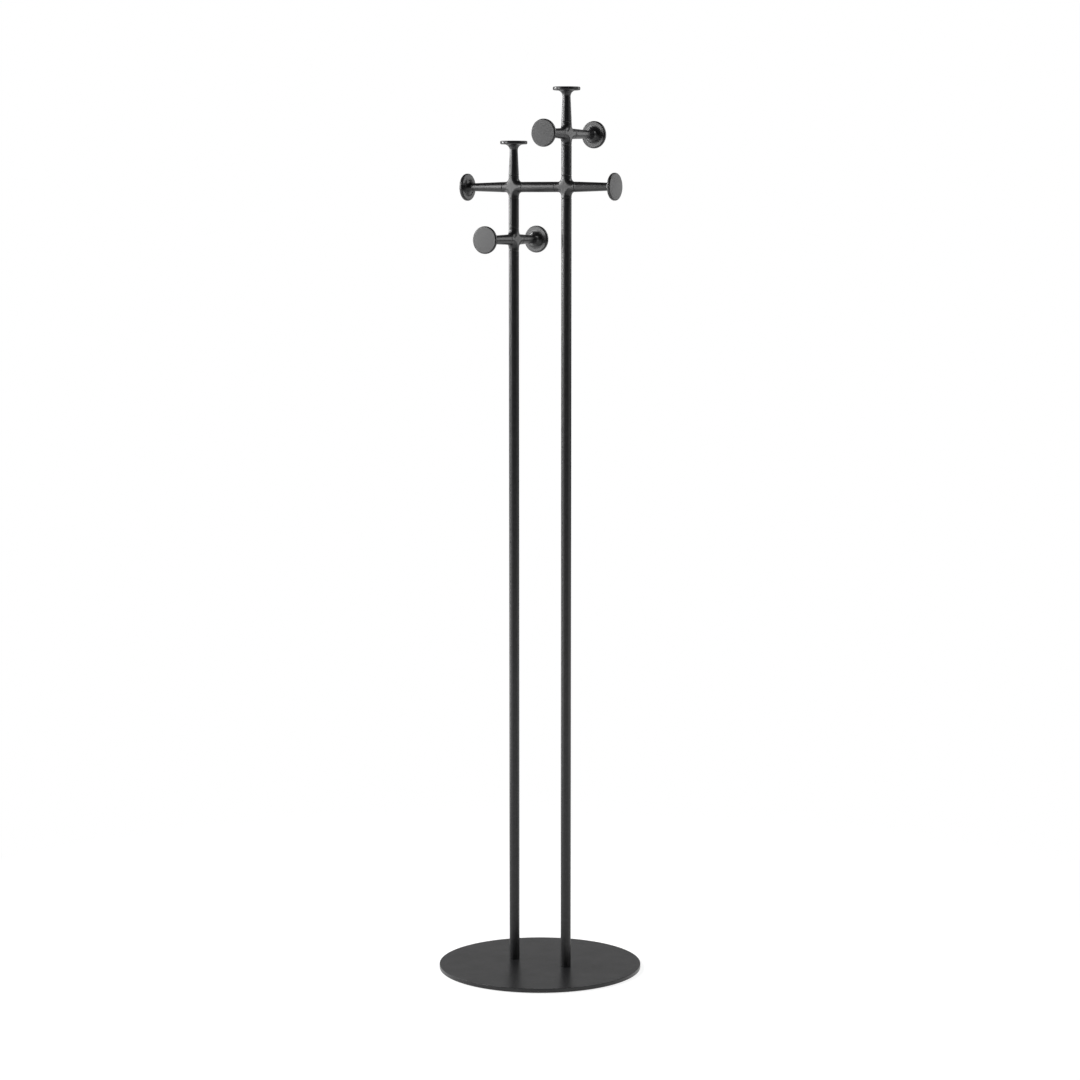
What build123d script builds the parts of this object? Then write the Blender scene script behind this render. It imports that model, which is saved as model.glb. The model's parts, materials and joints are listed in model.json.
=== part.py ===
"""Standing coat rack: two poles on a round base, a crossbar, four cast crosses and eight pegs.

Millimetres. The origin is the centre of the base at floor level, +Z is up, the
crossbar runs along X with the taller pole at +X, and the front faces -Y.
"""

import os

from build123d import *

# ---------------------------------------------------------------- driving sizes

# Base
base_diameter = 400.0
base_thickness = 8.0
base_edge_radius = 0.8
pad_diameter = 380.0
pad_thickness = 1.5
pad_hole_diameter = 19.0

# Poles and the bars between the crosses
tube_diameter = 20.0
tube_wall = 1.5
pole_spacing = 118.5
crossbar_height = 1544.0
level_pitch = 101.5

# Cast crosses: four arms in one plane with rounded inside corners
corner_radius = 8.0
arm_straight = 4.0

# Trumpet pegs, reach measured from the centre of their cross
short_peg_reach = 89.0
long_peg_reach = 109.5
neck_diameter = 15.5
flare_radius = 11.5
disc_diameter = 53.0
disc_thickness = 6.6
disc_back_radius = 2.5
disc_face_radius = 2.2

# Studs that join pegs, crosses, bars and poles
stud_diameter = 8.0
stud_length = 30.0
stud_socket_width = 4.0
stud_socket_depth = 5.0
stud_end_chamfer = 0.8

# Plugs in the pole ends
collar_length = 8.5
plug_floor = 4.0

# Countersunk screws that hold the poles to the base
screw_diameter = 8.0
screw_length = 28.0
screw_head_diameter = 16.0
screw_socket_width = 5.0
screw_socket_depth = 3.0

# Clearances and small breaks
thread_clearance = 0.05
press_clearance = 0.03
screw_hole_clearance = 0.3
countersink_clearance = 0.2
seat_clearance = 0.05
bore_end_gap = 1.0
seam_chamfer = 1.2
fine_chamfer = 0.3
match_tolerance = 0.01

# --------------------------------------------------------------- derived places

tube_radius = tube_diameter / 2
tube_inner_radius = tube_radius - tube_wall
elbow_radius = tube_radius + corner_radius
arm_reach = elbow_radius + arm_straight
neck_radius = neck_diameter / 2
disc_radius = disc_diameter / 2

base_bottom = pad_thickness
base_top = base_bottom + base_thickness
pole_x = pole_spacing / 2
upper_height = crossbar_height + level_pitch
lower_height = crossbar_height - level_pitch

stud_bore_radius = stud_diameter / 2 + thread_clearance
stud_bore_depth = stud_length / 2 + bore_end_gap
screw_bore_radius = screw_diameter / 2 + thread_clearance
screw_hole_radius = screw_diameter / 2 + screw_hole_clearance
countersink_radius = screw_head_diameter / 2 + countersink_clearance
screw_recess = countersink_clearance - seat_clearance
screw_bottom = base_bottom + screw_recess
screw_bore_depth = screw_bottom + screw_length - base_top + bore_end_gap
plug_radius = tube_inner_radius - press_clearance

os.makedirs("parts", exist_ok=True)


def save(builder, name):
    """Label a finished piece and write it as its own STEP file."""
    builder.part.label = name
    export_step(builder.part, f"parts/{name}.step")


def along(seat):
    """Plane through the axis of a seat: local x is radial and local y runs along the axis."""
    return Plane(origin=seat.origin, x_dir=seat.x_dir, z_dir=-seat.y_dir)


def rims(builder, centre, distance):
    """Outer edges of the flat end faces that lie at a distance from a centre."""
    ends = [
        face
        for face in builder.faces().filter_by(GeomType.PLANE)
        if abs((face.center() - centre).length - distance) < match_tolerance
    ]
    return [face.outer_wire().edge() for face in ends]


# ------------------------------------------------------------------------- base

with BuildPart() as base_plate:
    with BuildSketch(Plane.XY.offset(base_bottom)):
        Circle(base_diameter / 2)
    extrude(amount=base_thickness)
    fillet(base_plate.edges().filter_by(GeomType.CIRCLE), radius=base_edge_radius)
    with Locations(*[Plane(origin=(x, 0, base_bottom), z_dir=(0, 0, -1)) for x in (-pole_x, pole_x)]):
        CounterSinkHole(
            radius=screw_hole_radius,
            counter_sink_radius=countersink_radius,
            depth=base_thickness,
            counter_sink_angle=90,
        )
save(base_plate, "base_plate")

with BuildPart() as base_pad:
    with BuildSketch(Plane.XY):
        Circle(pad_diameter / 2)
        with Locations((-pole_x, 0), (pole_x, 0)):
            Circle(pad_hole_diameter / 2, mode=Mode.SUBTRACT)
    extrude(amount=pad_thickness)
save(base_pad, "base_pad")

# Two flat-head screws, entered from below, as one group of separate solids
with BuildPart() as base_screws:
    for x in (-pole_x, pole_x):
        with BuildSketch(Plane.XZ.shift_origin((x, 0, 0))):
            with BuildLine():
                Polyline(
                    (0, screw_bottom),
                    (screw_head_diameter / 2, screw_bottom),
                    (screw_diameter / 2, screw_bottom + (screw_head_diameter - screw_diameter) / 2),
                    (screw_diameter / 2, screw_bottom + screw_length - stud_end_chamfer),
                    (screw_diameter / 2 - stud_end_chamfer, screw_bottom + screw_length),
                    (0, screw_bottom + screw_length),
                    close=True,
                )
            make_face()
        revolve(axis=Axis((x, 0, 0), (0, 0, 1)))
        with BuildSketch(Plane(origin=(x, 0, screw_bottom))):
            RegularPolygon(screw_socket_width / 2, 6, major_radius=False)
        extrude(amount=screw_socket_depth, mode=Mode.SUBTRACT)
save(base_screws, "base_screws")

# ------------------------------------------------------------------------ poles

poles = {
    "left": (-pole_x, lower_height - arm_reach),
    "right": (pole_x, crossbar_height - arm_reach),
}

for side, (x, cross_seat) in poles.items():
    tube_top = cross_seat - collar_length

    with BuildPart() as pole:
        with BuildSketch(Plane(origin=(x, 0, base_top))):
            Circle(tube_radius)
            Circle(tube_inner_radius, mode=Mode.SUBTRACT)
        extrude(amount=tube_top - base_top)
        top_rim = pole.edges().filter_by(GeomType.CIRCLE).group_by(Axis.Z)[-1].sort_by(SortBy.RADIUS)[-1]
        chamfer(top_rim, length=fine_chamfer)
    save(pole, f"{side}_pole")

    # The foot plug is pressed in flush with the tube end and takes the base screw
    with BuildPart() as foot_plug:
        with BuildSketch(Plane(origin=(x, 0, base_top))):
            Circle(plug_radius)
        extrude(amount=screw_bore_depth + plug_floor)
        chamfer(foot_plug.edges().group_by(Axis.Z)[-1], length=fine_chamfer)
        with BuildSketch(Plane(origin=(x, 0, base_top))):
            Circle(screw_bore_radius)
        extrude(amount=screw_bore_depth, mode=Mode.SUBTRACT)
    save(foot_plug, f"{side}_foot_plug")

    # The head plug has a collar as wide as the tube, which shows as a short ring
    with BuildPart() as head_plug:
        with BuildSketch(Plane(origin=(x, 0, tube_top))):
            Circle(tube_radius)
        extrude(amount=collar_length)
        chamfer(head_plug.edges().group_by(Axis.Z)[-1], length=seam_chamfer)
        chamfer(head_plug.edges().group_by(Axis.Z)[0], length=fine_chamfer)
        with BuildSketch(Plane(origin=(x, 0, tube_top))):
            Circle(plug_radius)
        extrude(amount=-(stud_bore_depth + plug_floor - collar_length))
        chamfer(head_plug.edges().group_by(Axis.Z)[0], length=fine_chamfer)
        with BuildSketch(Plane(origin=(x, 0, cross_seat))):
            Circle(stud_bore_radius)
        extrude(amount=-stud_bore_depth, mode=Mode.SUBTRACT)
    save(head_plug, f"{side}_head_plug")

# ---------------------------------------------------------------- cast crosses

# Each cross lies in a plane whose local x is its level arm and local y is up
crosses = {
    "lower_left_cross": Plane(origin=(-pole_x, 0, lower_height), x_dir=(0, 1, 0), z_dir=(1, 0, 0)),
    "left_cross": Plane(origin=(-pole_x, 0, crossbar_height), x_dir=(1, 0, 0), z_dir=(0, -1, 0)),
    "right_cross": Plane(origin=(pole_x, 0, crossbar_height), x_dir=(1, 0, 0), z_dir=(0, -1, 0)),
    "upper_right_cross": Plane(origin=(pole_x, 0, upper_height), x_dir=(0, 1, 0), z_dir=(1, 0, 0)),
}


def arm_seats(cross_plane):
    """Planes at the ends of a cross's four arms, facing outwards."""
    directions = (cross_plane.x_dir, -cross_plane.x_dir, cross_plane.y_dir, -cross_plane.y_dir)
    return [
        Plane(origin=cross_plane.origin + way * arm_reach, x_dir=cross_plane.z_dir, z_dir=way)
        for way in directions
    ]


for name, cross_plane in crosses.items():
    seats = arm_seats(cross_plane)

    with BuildPart() as cross:
        # Flat four-pointed web between the crowns of the rounded corners
        with BuildSketch(cross_plane):
            with BuildLine():
                RadiusArc((0, elbow_radius), (elbow_radius, 0), -elbow_radius)
                RadiusArc((elbow_radius, 0), (0, -elbow_radius), -elbow_radius)
                RadiusArc((0, -elbow_radius), (-elbow_radius, 0), -elbow_radius)
                RadiusArc((-elbow_radius, 0), (0, elbow_radius), -elbow_radius)
            make_face()
        extrude(amount=tube_radius, both=True)

        # Rounded corners: half a ring of arm section in each quarter
        for across in (1, -1):
            for up in (1, -1):
                shoulder = cross_plane.from_local_coords((0, up * elbow_radius, 0))
                pivot = cross_plane.from_local_coords((across * elbow_radius, up * elbow_radius, 0))
                with BuildSketch(Plane(origin=shoulder, x_dir=cross_plane.x_dir, z_dir=cross_plane.y_dir)):
                    with BuildLine():
                        Line((0, -tube_radius), (0, tube_radius))
                        ThreePointArc((0, tube_radius), (across * tube_radius, 0), (0, -tube_radius))
                    make_face()
                revolve(axis=Axis(pivot, cross_plane.z_dir), revolution_arc=90 * across * up)

        # Straight ends of the arms, and the tapped bores in them
        for seat in seats:
            with BuildSketch(seat):
                Circle(tube_radius)
            extrude(amount=-arm_straight)
        chamfer(rims(cross, cross_plane.origin, arm_reach), length=seam_chamfer)
        for seat in seats:
            with BuildSketch(seat):
                Circle(stud_bore_radius)
            extrude(amount=-stud_bore_depth, mode=Mode.SUBTRACT)
    save(cross, name)

# --------------------------------------------------- bars between the crosses

# Solid turned bars, tapped at both ends: seat of the first end and the length
bars = {
    "left_riser": (
        Plane(origin=(-pole_x, 0, lower_height + arm_reach), z_dir=(0, 0, 1)),
        level_pitch - 2 * arm_reach,
    ),
    "right_riser": (
        Plane(origin=(pole_x, 0, crossbar_height + arm_reach), z_dir=(0, 0, 1)),
        level_pitch - 2 * arm_reach,
    ),
    "crossbar": (
        Plane(origin=(-pole_x + arm_reach, 0, crossbar_height), z_dir=(1, 0, 0)),
        pole_spacing - 2 * arm_reach,
    ),
}

for name, (seat, length) in bars.items():
    with BuildPart() as bar:
        with BuildSketch(seat):
            Circle(tube_radius)
        extrude(amount=length)
        chamfer(bar.edges().filter_by(GeomType.CIRCLE), length=seam_chamfer)
        with BuildSketch(seat):
            Circle(stud_bore_radius)
        extrude(amount=stud_bore_depth, mode=Mode.SUBTRACT)
        with BuildSketch(seat.offset(length)):
            Circle(stud_bore_radius)
        extrude(amount=-stud_bore_depth, mode=Mode.SUBTRACT)
    save(bar, name)

# ------------------------------------------------------------------------- pegs

# Each peg: its cross, the way it points, and how far its outer face stands from the cross
pegs = {
    "left_top_peg": ("left_cross", (0, 0, 1), short_peg_reach),
    "right_top_peg": ("upper_right_cross", (0, 0, 1), short_peg_reach),
    "left_end_peg": ("left_cross", (-1, 0, 0), long_peg_reach),
    "right_end_peg": ("right_cross", (1, 0, 0), long_peg_reach),
    "upper_front_peg": ("upper_right_cross", (0, -1, 0), short_peg_reach),
    "upper_rear_peg": ("upper_right_cross", (0, 1, 0), long_peg_reach),
    "lower_front_peg": ("lower_left_cross", (0, -1, 0), long_peg_reach),
    "lower_rear_peg": ("lower_left_cross", (0, 1, 0), short_peg_reach),
}


def peg_seat(cross_name, way):
    """Plane where a peg meets the arm of its cross."""
    return Plane(origin=crosses[cross_name].origin + Vector(way) * arm_reach, z_dir=way)


for name, (cross_name, way, reach) in pegs.items():
    seat = peg_seat(cross_name, way)
    length = reach - arm_reach
    underside = length - disc_thickness

    with BuildPart() as peg:
        with BuildSketch(along(seat)):
            with BuildLine():
                Polyline(
                    (0, length),
                    (0, 0),
                    (tube_radius - seam_chamfer, 0),
                    (tube_radius, seam_chamfer),
                    (neck_radius, underside - flare_radius),
                )
                RadiusArc(
                    (neck_radius, underside - flare_radius),
                    (neck_radius + flare_radius, underside),
                    flare_radius,
                )
                Line((neck_radius + flare_radius, underside), (disc_radius - disc_back_radius, underside))
                RadiusArc(
                    (disc_radius - disc_back_radius, underside),
                    (disc_radius, underside + disc_back_radius),
                    -disc_back_radius,
                )
                Line((disc_radius, underside + disc_back_radius), (disc_radius, length - disc_face_radius))
                RadiusArc(
                    (disc_radius, length - disc_face_radius),
                    (disc_radius - disc_face_radius, length),
                    -disc_face_radius,
                )
                Line((disc_radius - disc_face_radius, length), (0, length))
            make_face()
        revolve(axis=Axis(seat.origin, seat.z_dir))
        with BuildSketch(seat):
            Circle(stud_bore_radius)
        extrude(amount=stud_bore_depth, mode=Mode.SUBTRACT)
    save(peg, name)

# ------------------------------------------------------------------------ studs

peg_stud_seats = [peg_seat(cross_name, way) for cross_name, way, reach in pegs.values()]
link_stud_seats = [Plane(origin=(x, 0, cross_seat), z_dir=(0, 0, 1)) for x, cross_seat in poles.values()]
for seat, length in bars.values():
    link_stud_seats += [seat, seat.offset(length)]

stud_groups = {"peg_studs": peg_stud_seats, "link_studs": link_stud_seats}

# Headless socket screws, centred on the seams, as groups of separate solids
for name, seats in stud_groups.items():
    with BuildPart() as studs:
        for seat in seats:
            with BuildSketch(seat.offset(-stud_length / 2)):
                Circle(stud_diameter / 2)
            extrude(amount=stud_length)
        chamfer(studs.edges().filter_by(GeomType.CIRCLE), length=stud_end_chamfer)
        for seat in seats:
            with BuildSketch(seat.offset(stud_length / 2)):
                RegularPolygon(stud_socket_width / 2, 6, major_radius=False)
            extrude(amount=-stud_socket_depth, mode=Mode.SUBTRACT)
    save(studs, name)
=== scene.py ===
"""Looks of the standing coat rack: fine meshes, powder coat, felt, zinc and a soft studio.

Metres, in the CAD frame: the base stands on the floor at the origin, +Z is up,
the crossbar runs along X with the taller pole at +X, and the front faces -Y.
"""

import json
import math
from itertools import product

import bpy
from mathutils import Matrix, Vector
from mathutils.geometry import tessellate_polygon


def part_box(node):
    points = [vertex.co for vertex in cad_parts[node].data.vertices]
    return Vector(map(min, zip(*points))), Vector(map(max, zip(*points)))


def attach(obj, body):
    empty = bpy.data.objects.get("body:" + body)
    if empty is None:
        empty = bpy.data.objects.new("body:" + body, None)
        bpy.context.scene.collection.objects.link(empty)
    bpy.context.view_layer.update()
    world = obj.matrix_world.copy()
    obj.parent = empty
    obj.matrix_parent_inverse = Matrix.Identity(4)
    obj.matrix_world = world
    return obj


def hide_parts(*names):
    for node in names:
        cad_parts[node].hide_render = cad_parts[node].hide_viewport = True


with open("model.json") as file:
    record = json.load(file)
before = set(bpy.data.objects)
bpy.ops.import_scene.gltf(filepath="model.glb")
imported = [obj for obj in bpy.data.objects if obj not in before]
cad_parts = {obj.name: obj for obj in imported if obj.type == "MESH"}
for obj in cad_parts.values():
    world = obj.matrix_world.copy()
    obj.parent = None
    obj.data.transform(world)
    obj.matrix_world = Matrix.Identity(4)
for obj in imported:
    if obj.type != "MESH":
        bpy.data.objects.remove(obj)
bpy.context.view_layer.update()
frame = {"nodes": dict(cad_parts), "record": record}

# ------------------------------------------------------------------ piece sizes
# Only the sizes that the boxes of the CAD nodes don't give

tube_radius = 0.010
tube_wall = 0.0015
bore_radius = 0.00405
bore_depth = 0.016
rim_round = 0.0012
fine_round = 0.0003
fully_worn_round = 0.0008  # edges with a wider rounding than this are rubbed less

base_edge_round = 0.0008
screw_hole_radius = 0.0043
countersink_radius = 0.0082
pad_hole_radius = 0.0095

collar_length = 0.0085
plug_clearance = 0.00003

corner_radius = 0.008
elbow_radius = tube_radius + corner_radius

neck_radius = 0.00775
flare_radius = 0.0115
disc_thickness = 0.0066
disc_back_round = 0.0025
disc_face_round = 0.0022

# Fineness of the meshes
bend_step = math.radians(12)
bar_segments = 96
arm_segments = 64
elbow_steps = 20
disc_segments = 160
base_segments = 384
hole_segments = 48
weld_cell = 1e-6

X, Y, Z = Vector((1, 0, 0)), Vector((0, 1, 0)), Vector((0, 0, 1))

# ---------------------------------------------------------------- mesh building


class Shell:
    """Faces with an exact normal at each corner, joined where their corners meet."""

    def __init__(self):
        self.points = []
        self.wear = []
        self.index_of = {}
        self.faces = []
        self.normals = []

    def corner(self, point, wear):
        """Index of the corner at a point; points less than a weld cell apart are one corner."""
        x, y, z = (round(part / weld_cell) for part in point)
        if (x, y, z) not in self.index_of:
            cells = [(x + i, y + j, z + k) for i, j, k in product((-1, 0, 1), repeat=3)]
            near = [self.index_of[cell] for cell in cells if cell in self.index_of]
            self.index_of[x, y, z] = near[0] if near else len(self.points)
            if not near:
                self.points.append(point)
                self.wear.append(0.0)
        index = self.index_of[x, y, z]
        self.wear[index] = max(self.wear[index], wear)
        return index

    def face(self, corners):
        """One face from (point, normal, wear) corners, turned to face along its normals."""
        kept = {}
        for point, normal, wear in corners:
            kept.setdefault(self.corner(point, wear), normal)
        if len(kept) < 3:
            return
        order = list(kept)
        a, b, c = (self.points[index] for index in order[:3])
        if (b - a).cross(c - a).dot(sum(kept.values(), Vector((0, 0, 0)))) < 0:
            order.reverse()
        self.faces.append(order)
        self.normals += [kept[index] for index in order]

    def patch(self, rows):
        """Faces between neighbouring rows of corners."""
        for row, next_row in zip(rows, rows[1:]):
            for i in range(len(row) - 1):
                self.face([row[i], row[i + 1], next_row[i + 1], next_row[i]])

    def piece(self, name):
        """The finished mesh as an object, smooth with the exact normals."""
        mesh = bpy.data.meshes.new(name)
        mesh.from_pydata(self.points, [], self.faces)
        mesh.normals_split_custom_set(self.normals)
        mesh.attributes.new("wear", "FLOAT", "POINT").data.foreach_set("value", self.wear)
        made = bpy.data.objects.new(name, mesh)
        bpy.context.collection.objects.link(made)
        return made


def profile(corners, closed=False):
    """Runs of (radius, height, normal, wear) along an outline with rounded corners.

    Each corner is (radius, height) or (radius, height, rounding), and the
    material lies to the left of the way that the outline is drawn. Roundings
    that face out are rubbed.
    """
    if closed:
        corners = [*corners, corners[0]]
    places = [Vector(corner[:2]) for corner in corners]
    runs = []
    start = places[0]
    for i in range(1, len(places)):
        way = (places[i] - places[i - 1]).normalized()
        normal = Vector((way.y, -way.x))
        rounding = corners[i][2] if len(corners[i]) > 2 else 0.0
        if rounding == 0.0:
            runs.append([(start, normal, 0.0), (places[i], normal, 0.0)])
            start = places[i]
            continue
        next_way = (places[i + 1] - places[i]).normalized()
        turn = -way.angle_signed(next_way)
        setback = rounding * math.tan(abs(turn) / 2)
        outward = math.copysign(1.0, turn)
        bend_start = places[i] - way * setback
        centre = bend_start - normal * outward * rounding
        steps = max(2, math.ceil(abs(turn) / bend_step))
        rub = max(outward, 0.0) * min(1.0, fully_worn_round / rounding)
        bend = []
        for step in range(steps + 1):
            turned = Matrix.Rotation(turn * step / steps, 2) @ normal
            bend.append((centre + turned * outward * rounding, turned, rub))
        runs.append([(start, normal, 0.0), (bend_start, normal, 0.0)])
        runs.append(bend)
        start = places[i] + next_way * setback
    return runs


def turn_round(shell, runs, foot, way, segments):
    """Sweep a profile once round the axis that starts at foot and points along way."""
    across = way.orthogonal().normalized() if way.z else Z
    side = way.cross(across)
    rays = []
    for i in range(segments + 1):
        angle = math.tau * (i % segments) / segments
        rays.append(across * math.cos(angle) + side * math.sin(angle))
    for run in runs:
        rows = []
        for (radius, height), (out, along), wear in run:
            middle = foot + way * height
            rows.append([(middle + ray * radius, ray * out + way * along, wear) for ray in rays])
        shell.patch(rows)


def seat_of(node, way):
    """Middle of a node's end face at its start along way, and the node's length that way."""
    low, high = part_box(node)
    length = abs((high - low).dot(way))
    return (low + high) / 2 - way * length / 2, length


def ring(centre, radius, segments):
    """Points round a level circle."""
    points = []
    for i in range(segments):
        turn = math.tau * i / segments
        points.append(centre + Vector((radius * math.cos(turn), radius * math.sin(turn), 0)))
    return points


def pierced_face(shell, height, radius, holes, normal):
    """A level round face with round holes in it; holes are (centre, radius)."""
    loops = [ring(Z * height, radius, base_segments)]
    for centre, hole_radius in holes:
        loops.append(ring(centre + Z * height, hole_radius, hole_segments))
    points = [point for loop in loops for point in loop]
    for triangle in tessellate_polygon(loops):
        shell.face([(points[index], normal, 0.0) for index in triangle])


# --------------------------------------------------------------------- finishes


def nodes_of(material):
    """The material's node tree, its shader and its place in the object's own metres."""
    material.use_nodes = True
    tree = material.node_tree
    place = tree.nodes.new("ShaderNodeTexCoord").outputs["Object"]
    return tree, tree.nodes["Principled BSDF"], place


def noise(tree, place, size, detail=2.0, roughness=0.5):
    """Noise whose features are about size metres across, from 0 to 1."""
    node = tree.nodes.new("ShaderNodeTexNoise")
    node.inputs["Scale"].default_value = 1 / size
    node.inputs["Detail"].default_value = detail
    node.inputs["Roughness"].default_value = roughness
    tree.links.new(place, node.inputs["Vector"])
    return node.outputs["Fac"]


def spread(tree, value, low=0.0, high=1.0, from_low=0.3, from_high=0.7):
    """A value stretched from one range to another and held inside it."""
    node = tree.nodes.new("ShaderNodeMapRange")
    node.inputs["From Min"].default_value = from_low
    node.inputs["From Max"].default_value = from_high
    node.inputs["To Min"].default_value = low
    node.inputs["To Max"].default_value = high
    tree.links.new(value, node.inputs["Value"])
    return node.outputs["Result"]


def reckoned(tree, operation, a, b):
    """Two values put together by one step of arithmetic."""
    node = tree.nodes.new("ShaderNodeMath")
    node.operation = operation
    tree.links.new(a, node.inputs[0])
    tree.links.new(b, node.inputs[1])
    return node.outputs[0]


def times(tree, a, b):
    return reckoned(tree, "MULTIPLY", a, b)


def larger(tree, a, b):
    return reckoned(tree, "MAXIMUM", a, b)


def blended(tree, share, first, second):
    """A colour between two others; each is a colour or a node's output."""
    node = tree.nodes.new("ShaderNodeMix")
    node.data_type = "RGBA"
    tree.links.new(share, node.inputs["Factor"])
    for name, colour in (("A", first), ("B", second)):
        socket = next(s for s in node.inputs if s.name == name and s.type == "RGBA")
        if isinstance(colour, tuple):
            socket.default_value = (*colour, 1.0)
        else:
            tree.links.new(colour, socket)
    return next(s for s in node.outputs if s.type == "RGBA")


def bumped(tree, relief, depth, under=None):
    """A normal from a relief of a depth in metres, over another normal if there is one."""
    node = tree.nodes.new("ShaderNodeBump")
    node.inputs["Distance"].default_value = depth
    node.inputs["Strength"].default_value = 1.0
    tree.links.new(relief, node.inputs["Height"])
    if under is not None:
        tree.links.new(under, node.inputs["Normal"])
    return node.outputs["Normal"]


def attribute(tree, label):
    """A value that the mesh carries."""
    node = tree.nodes.new("ShaderNodeAttribute")
    node.attribute_name = label
    return node.outputs["Fac"]


# Black powder coat
coat_black = (0.010, 0.010, 0.011)
coat_cloud = (0.012, 0.012, 0.013)
coat_speck = tuple(1.18 * part for part in coat_cloud)
coat_rubbed = tuple(1.9 * part for part in coat_cloud)
satin_range = 0.02
peel_depth = 0.000005


def powder_coat(name, roughness, grain_size, grain_depth):
    """Black satin powder coat: faint clouding, grain, orange peel and rubbed edges."""
    material = bpy.data.materials.new(name)
    tree, shader, place = nodes_of(material)
    chips = spread(tree, noise(tree, place, size=0.006, detail=4.0), from_low=0.45, from_high=0.75)
    rubbed = times(tree, attribute(tree, "wear"), chips)
    clouds = spread(tree, noise(tree, place, size=0.09, detail=3.0), from_low=0.2, from_high=0.8)
    specks = times(tree, spread(tree, noise(tree, place, grain_size)), clouds)
    body = blended(tree, clouds, coat_black, coat_cloud)
    speckled = blended(tree, specks, body, coat_speck)
    tree.links.new(blended(tree, rubbed, speckled, coat_rubbed), shader.inputs["Base Color"])
    patches = noise(tree, place, size=0.035, detail=3.0)
    satin = spread(tree, patches, roughness - satin_range, roughness + satin_range)
    tree.links.new(satin, shader.inputs["Roughness"])
    peel = bumped(tree, noise(tree, place, size=0.0032, detail=1.0), peel_depth)
    grain = bumped(tree, noise(tree, place, grain_size), grain_depth, under=peel)
    tree.links.new(grain, shader.inputs["Normal"])
    return material


# Zinc plate on the fasteners
zinc_dull = (0.48, 0.49, 0.50)
zinc_bright = (0.66, 0.66, 0.64)
zinc_mark_depth = 0.00001


def zinc_plate(name):
    """Bright zinc plating: spangled tone and turning marks."""
    material = bpy.data.materials.new(name)
    tree, shader, place = nodes_of(material)
    shader.inputs["Metallic"].default_value = 1.0
    spangle = spread(tree, noise(tree, place, size=0.004, detail=3.0))
    tree.links.new(blended(tree, spangle, zinc_dull, zinc_bright), shader.inputs["Base Color"])
    polish = spread(tree, noise(tree, place, size=0.002, detail=3.0), low=0.24, high=0.4)
    tree.links.new(polish, shader.inputs["Roughness"])
    marks = noise(tree, place, size=0.0006, detail=3.0)
    tree.links.new(bumped(tree, marks, zinc_mark_depth), shader.inputs["Normal"])
    return material


# Felt under the base
felt_dark = (0.036, 0.036, 0.038)
felt_light = (0.055, 0.054, 0.055)
lint_colour = (0.12, 0.118, 0.115)
fibre_depth = 0.0005


def pressed_felt(name):
    """Dark pressed felt: matted fibres, soft sheen and a little lint."""
    material = bpy.data.materials.new(name)
    tree, shader, place = nodes_of(material)
    shader.inputs["Sheen Weight"].default_value = 0.25
    shader.inputs["Sheen Roughness"].default_value = 0.6
    shader.inputs["Specular IOR Level"].default_value = 0.15
    fibres = noise(tree, place, size=0.0011, detail=6.0, roughness=0.72)
    matted = spread(tree, noise(tree, place, size=0.012, detail=4.0))
    ground = blended(tree, matted, felt_dark, felt_light)
    lint = spread(tree, fibres, from_low=0.62, from_high=0.8)
    tree.links.new(blended(tree, lint, ground, lint_colour), shader.inputs["Base Color"])
    tree.links.new(spread(tree, fibres, low=0.85, high=1.0), shader.inputs["Roughness"])
    tree.links.new(bumped(tree, fibres, fibre_depth), shader.inputs["Normal"])
    return material


finishes = {
    "base_coat": powder_coat(
        "base_powder_coat", roughness=0.34, grain_size=0.0009, grain_depth=0.00004
    ),
    "frame_coat": powder_coat(
        "frame_powder_coat", roughness=0.31, grain_size=0.0007, grain_depth=0.000008
    ),
    "peg_coat": powder_coat(
        "peg_powder_coat", roughness=0.31, grain_size=0.0007, grain_depth=0.000008
    ),
    "zinc_steel": zinc_plate("zinc_plate"),
    "pad_felt": pressed_felt("pressed_felt"),
}

slot_of = {part["node"]: part["material_slot"] for part in frame["record"]["subparts"]}


def settle(shell, node):
    """Turn a shell into the piece that stands for a CAD node."""
    piece = shell.piece(f"fine_{node}")
    piece.data.materials.append(finishes[slot_of[node]])
    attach(piece, "root")
    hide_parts(node)
    return piece


# ------------------------------------------------------------------------- base

plate_low, plate_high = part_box("base_plate")
base_radius = plate_high.x
origin = Vector((0, 0, 0))
pole_places = [X * seat_of(node, Z)[0].x for node in ("left_pole", "right_pole")]


def base_plate():
    shell = Shell()
    bottom, top = plate_low.z, plate_high.z
    flat_radius = base_radius - base_edge_round
    sink_top = bottom + countersink_radius - screw_hole_radius
    rim = profile([
        (flat_radius, bottom), (base_radius, bottom, base_edge_round),
        (base_radius, top, base_edge_round), (flat_radius, top),
    ])
    turn_round(shell, rim, origin, Z, base_segments)
    holes = [(place, screw_hole_radius) for place in pole_places]
    sinks = [(place, countersink_radius) for place in pole_places]
    pierced_face(shell, top, flat_radius, holes, Z)
    pierced_face(shell, bottom, flat_radius, sinks, -Z)
    hole = profile([
        (screw_hole_radius, top), (screw_hole_radius, sink_top), (countersink_radius, bottom),
    ])
    for place in pole_places:
        turn_round(shell, hole, place, Z, hole_segments)
    return shell


def base_pad():
    shell = Shell()
    low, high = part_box("base_pad")
    flat_radius = high.x - fine_round
    wall = profile([(flat_radius, low.z), (high.x, low.z, fine_round), (high.x, high.z)])
    turn_round(shell, wall, origin, Z, base_segments)
    holes = [(place, pad_hole_radius) for place in pole_places]
    pierced_face(shell, high.z, high.x, holes, Z)
    pierced_face(shell, low.z, flat_radius, holes, -Z)
    hole = profile([(pad_hole_radius, high.z), (pad_hole_radius, low.z)])
    for place in pole_places:
        turn_round(shell, hole, place, Z, hole_segments)
    return shell


settle(base_plate(), "base_plate")
settle(base_pad(), "base_pad")

# ------------------------------------------------------------------------ poles


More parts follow.
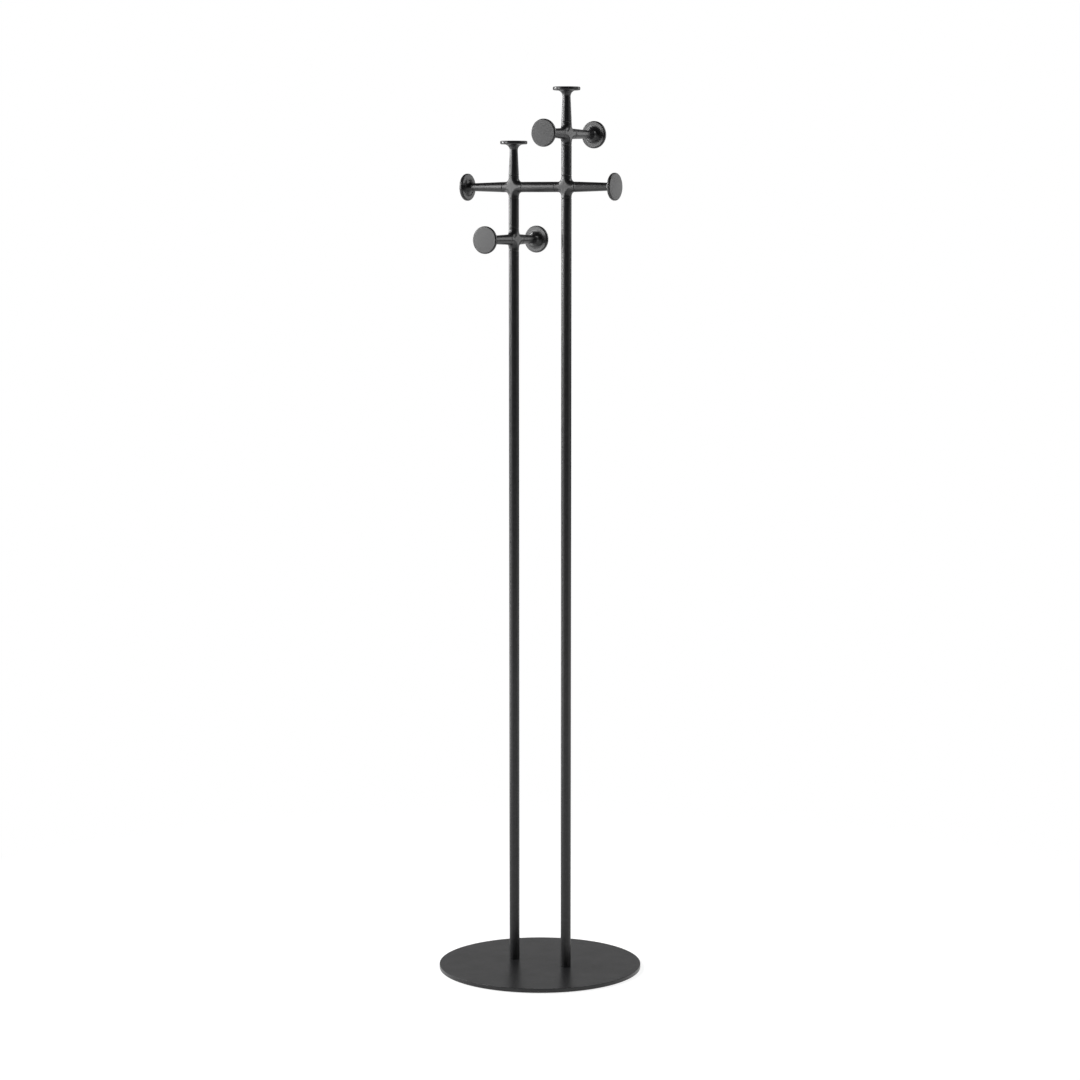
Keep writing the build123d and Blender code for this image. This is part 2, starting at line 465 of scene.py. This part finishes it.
def pole(node):
    shell = Shell()
    foot, length = seat_of(node, Z)
    inner = tube_radius - tube_wall
    tube = profile(
        [
            (inner, 0), (tube_radius, 0, fine_round),
            (tube_radius, length, fine_round), (inner, length),
        ],
        closed=True,
    )
    turn_round(shell, tube, foot, Z, bar_segments)
    return shell


def head_plug(node):
    shell = Shell()
    foot, length = seat_of(node, Z)
    plug_radius = tube_radius - tube_wall - plug_clearance
    tube_top = length - collar_length
    plug = profile([
        (0, 0), (plug_radius, 0, fine_round), (plug_radius, tube_top),
        (tube_radius, tube_top, fine_round), (tube_radius, length, rim_round),
        (bore_radius, length), (bore_radius, length - bore_depth), (0, length - bore_depth),
    ])
    turn_round(shell, plug, foot, Z, bar_segments)
    return shell


for side in ("left", "right"):
    settle(pole(f"{side}_pole"), f"{side}_pole")
    settle(head_plug(f"{side}_head_plug"), f"{side}_head_plug")

# ---------------------------------------------------------------------- crosses


def cross(node, across):
    """A cast cross whose level arms lie along across."""
    shell = Shell()
    low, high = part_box(node)
    centre = (low + high) / 2
    reach = (high.z - low.z) / 2
    out = across.cross(Z)

    arm = profile([
        (tube_radius, elbow_radius), (tube_radius, reach, rim_round), (bore_radius, reach),
        (bore_radius, reach - bore_depth), (0, reach - bore_depth),
    ])
    for way in (across, -across, Z, -Z):
        turn_round(shell, arm, centre, way, arm_segments)

    # Each inside corner is a quarter turn of the half tube that faces it
    half = arm_segments // 2
    for right in (1, -1):
        for up in (1, -1):
            pivot = centre + across * right * elbow_radius + Z * up * elbow_radius
            rows = []
            for i in range(elbow_steps + 1):
                angle = math.pi / 2 * i / elbow_steps
                inward = -across * right * math.cos(angle) - Z * up * math.sin(angle)
                row = []
                for k in range(half + 1):
                    tilt = math.pi * (k / half - 0.5)
                    normal = out * math.sin(tilt) - inward * math.cos(tilt)
                    row.append((pivot + inward * elbow_radius + normal * tube_radius, normal, 0.0))
                rows.append(row)
            shell.patch(rows)
            for face, normal in ((0, -out), (half, out)):
                hub = (centre + normal * tube_radius, normal, 0.0)
                edge = [(row[face][0], normal, 0.0) for row in rows]
                shell.patch([[hub] * len(rows), edge])
    return shell


cross_ways = {"lower_left_cross": Y, "left_cross": X, "right_cross": X, "upper_right_cross": Y}
for node, across in cross_ways.items():
    settle(cross(node, across), node)

# ------------------------------------------------------------------------- bars


def bar(node, way):
    shell = Shell()
    foot, length = seat_of(node, way)
    solid = profile([
        (0, bore_depth), (bore_radius, bore_depth), (bore_radius, 0), (tube_radius, 0, rim_round),
        (tube_radius, length, rim_round), (bore_radius, length),
        (bore_radius, length - bore_depth), (0, length - bore_depth),
    ])
    turn_round(shell, solid, foot, way, bar_segments)
    return shell


for node, way in (("left_riser", Z), ("right_riser", Z), ("crossbar", X)):
    settle(bar(node, way), node)

# ------------------------------------------------------------------------- pegs


def peg(node, way):
    """A trumpet peg: tapered shaft, flare and a disc with a rounded edge."""
    shell = Shell()
    foot, length = seat_of(node, way)
    low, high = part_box(node)
    across = [side for side in (X, Y, Z) if side.dot(way) == 0]
    disc_radius = max((high - low).dot(side) for side in across) / 2
    underside = length - disc_thickness
    trumpet = profile([
        (0, bore_depth), (bore_radius, bore_depth), (bore_radius, 0), (tube_radius, 0, rim_round),
        (neck_radius, underside - flare_radius), (neck_radius, underside, flare_radius),
        (disc_radius, underside, disc_back_round), (disc_radius, length, disc_face_round),
        (0, length),
    ])
    turn_round(shell, trumpet, foot, way, disc_segments)
    return shell


peg_ways = {
    "left_top_peg": Z, "right_top_peg": Z, "left_end_peg": -X, "right_end_peg": X,
    "upper_front_peg": -Y, "upper_rear_peg": Y, "lower_front_peg": -Y, "lower_rear_peg": Y,
}
for node, way in peg_ways.items():
    settle(peg(node, way), node)

# The hidden screws, studs and foot plugs stay as they come in model.glb and get their plating
for node in ("base_screws", "left_foot_plug", "right_foot_plug", "peg_studs", "link_studs"):
    mesh = frame["nodes"][node].data
    mesh.materials.clear()
    mesh.materials.append(finishes[slot_of[node]])

# ------------------------------------------------------------- camera and light

camera_turn = math.radians(30.8)
camera_tilt = math.radians(6.56)
camera_distance = 5.6868
camera_height = 1.5108
focal_length = 97.32
sensor_width = 36.0


def round_the_rack(turn, distance, height):
    """A place at a distance from the rack's axis, turned from the front towards the right."""
    return distance * math.sin(turn), -distance * math.cos(turn), height


camera = bpy.data.objects.new("camera", bpy.data.cameras.new("camera"))
bpy.context.collection.objects.link(camera)
camera.data.sensor_width = sensor_width
camera.data.lens = focal_length
camera.location = round_the_rack(camera_turn, camera_distance, camera_height)
camera.rotation_euler = (math.pi / 2 - camera_tilt, 0, camera_turn)
bpy.context.scene.camera = camera


def softbox(name, turn, height, width, tall, radiance, distance=1.8, tilt=0.0):
    """A soft panel that faces the rack's axis; turn is in degrees, rightwards from the camera."""
    light = bpy.data.lights.new(name, "AREA")
    light.shape = "RECTANGLE"
    light.size = width
    light.size_y = tall
    light.energy = radiance * math.pi * width * tall
    made = bpy.data.objects.new(name, light)
    bpy.context.collection.objects.link(made)
    bearing = camera_turn + math.radians(turn)
    made.location = round_the_rack(bearing, distance, height)
    made.rotation_euler = (math.pi / 2 - math.radians(tilt), 0, bearing)
    made.visible_camera = False


softbox("key_softbox", turn=-70, height=1.95, width=0.506, tall=1.3, radiance=11.3)
softbox("side_softbox", turn=-110, height=1.95, width=0.506, tall=1.3, radiance=19.0)
softbox("low_side_softbox", turn=-110, height=0.675, width=0.506, tall=1.25, radiance=4.6)
softbox("low_softbox", turn=-64, height=0.675, width=0.9, tall=1.25, radiance=1.45)
softbox("right_softbox", turn=75, height=1.33, width=1.53, tall=2.55, radiance=0.6)
softbox("fill_softbox", turn=120, height=1.95, width=0.506, tall=1.3, radiance=2.9)
softbox(
    "top_softbox", turn=90, height=2.9, width=1.1, tall=1.1, radiance=5.0, distance=1.4, tilt=90
)

# ------------------------------------------------------------- studio and floor


def one_or_other(tree, share, first, second):
    """A shader between two others."""
    node = tree.nodes.new("ShaderNodeMixShader")
    tree.links.new(share, node.inputs["Fac"])
    tree.links.new(first, node.inputs[1])
    tree.links.new(second, node.inputs[2])
    return node.outputs[0]


def seen_straight(tree, paths):
    """1 for rays from the camera or through glass, which see the white backdrop."""
    return larger(tree, paths["Is Camera Ray"], paths["Is Transmission Ray"])


# Levels of the dim studio that lights the rack, palest straight behind it
room_behind = 0.28
room_in_front = 0.025


def studio_world():
    """White backdrop for straight rays; a dim studio for light and most reflections."""
    studio = bpy.data.worlds.new("studio")
    bpy.context.scene.world = studio
    studio.use_nodes = True
    tree = studio.node_tree
    paths = tree.nodes.new("ShaderNodeLightPath").outputs
    way_out = tree.nodes.new("ShaderNodeTexCoord").outputs["Generated"]

    facing = tree.nodes.new("ShaderNodeVectorMath")
    facing.operation = "DOT_PRODUCT"
    facing.inputs[1].default_value = round_the_rack(camera_turn, 1.0, 0.0)
    tree.links.new(way_out, facing.inputs[0])
    front = facing.outputs["Value"]
    room = spread(tree, front, room_behind, room_in_front, from_low=-0.95, from_high=-0.5)

    # Reflections show the white backdrop as a strip straight behind the rack, low over the floor
    level = tree.nodes.new("ShaderNodeSeparateXYZ")
    tree.links.new(way_out, level.inputs[0])
    low_down = spread(tree, level.outputs["Z"], 1.0, 0.0, from_low=0.10, from_high=0.16)
    behind = spread(tree, front, 1.0, 0.0, from_low=-0.93, from_high=-0.90)
    strip = times(tree, times(tree, low_down, behind), paths["Is Glossy Ray"])

    strength = tree.nodes.new("ShaderNodeMix")
    tree.links.new(larger(tree, seen_straight(tree, paths), strip), strength.inputs["Factor"])
    tree.links.new(room, strength.inputs["A"])
    strength.inputs["B"].default_value = 1.0
    backdrop = tree.nodes["Background"]
    tree.links.new(strength.outputs["Result"], backdrop.inputs["Strength"])
    backdrop.inputs["Color"].default_value = (1, 1, 1, 1)


floor_radius = 30.0
floor_sides = 48
paper_tone = 0.85

# Near the rack the floor is paper that takes its shadow, with a glow that keeps it white
shadow_tone = 0.42
shadow_glow = 0.80


def white_floor():
    """White floor: shaded near the rack, plain white farther out."""
    mesh = bpy.data.meshes.new("floor")
    mesh.from_pydata(ring(origin, floor_radius, floor_sides), [], [list(range(floor_sides))])
    floor = bpy.data.objects.new("floor", mesh)
    bpy.context.collection.objects.link(floor)

    paper = bpy.data.materials.new("white_floor")
    mesh.materials.append(paper)
    paper.use_nodes = True
    tree = paper.node_tree
    tree.nodes.remove(tree.nodes["Principled BSDF"])
    paths = tree.nodes.new("ShaderNodeLightPath").outputs
    place = tree.nodes.new("ShaderNodeTexCoord").outputs["Object"]
    distance = tree.nodes.new("ShaderNodeVectorMath")
    distance.operation = "LENGTH"
    tree.links.new(place, distance.inputs[0])
    away = distance.outputs["Value"]
    white = tree.nodes.new("ShaderNodeEmission").outputs[0]

    matte = tree.nodes.new("ShaderNodeBsdfDiffuse")
    matte.inputs["Color"].default_value = (shadow_tone, shadow_tone, shadow_tone, 1)
    glow = tree.nodes.new("ShaderNodeEmission")
    glow.inputs["Strength"].default_value = shadow_glow
    shaded = tree.nodes.new("ShaderNodeAddShader")
    tree.links.new(matte.outputs[0], shaded.inputs[0])
    tree.links.new(glow.outputs[0], shaded.inputs[1])
    far_out = spread(tree, away, from_low=0.6, from_high=1.6)
    seen_floor = one_or_other(tree, far_out, shaded.outputs[0], white)

    # Bounced light sees plain paper; reflections see white that fades to that paper
    plain = tree.nodes.new("ShaderNodeBsdfDiffuse")
    plain.inputs["Color"].default_value = (paper_tone, paper_tone, paper_tone, 1)
    farther_out = spread(tree, away, from_low=4.0, from_high=8.0)
    reflected = one_or_other(tree, farther_out, white, plain.outputs[0])
    unseen = one_or_other(tree, paths["Is Glossy Ray"], plain.outputs[0], reflected)
    shown = one_or_other(tree, seen_straight(tree, paths), unseen, seen_floor)
    tree.links.new(shown, tree.nodes["Material Output"].inputs["Surface"])


studio_world()
white_floor()

bpy.context.scene.view_settings.view_transform = "Standard"

# ----------------------------------------------------------------------- finish

bpy.context.view_layer.update()
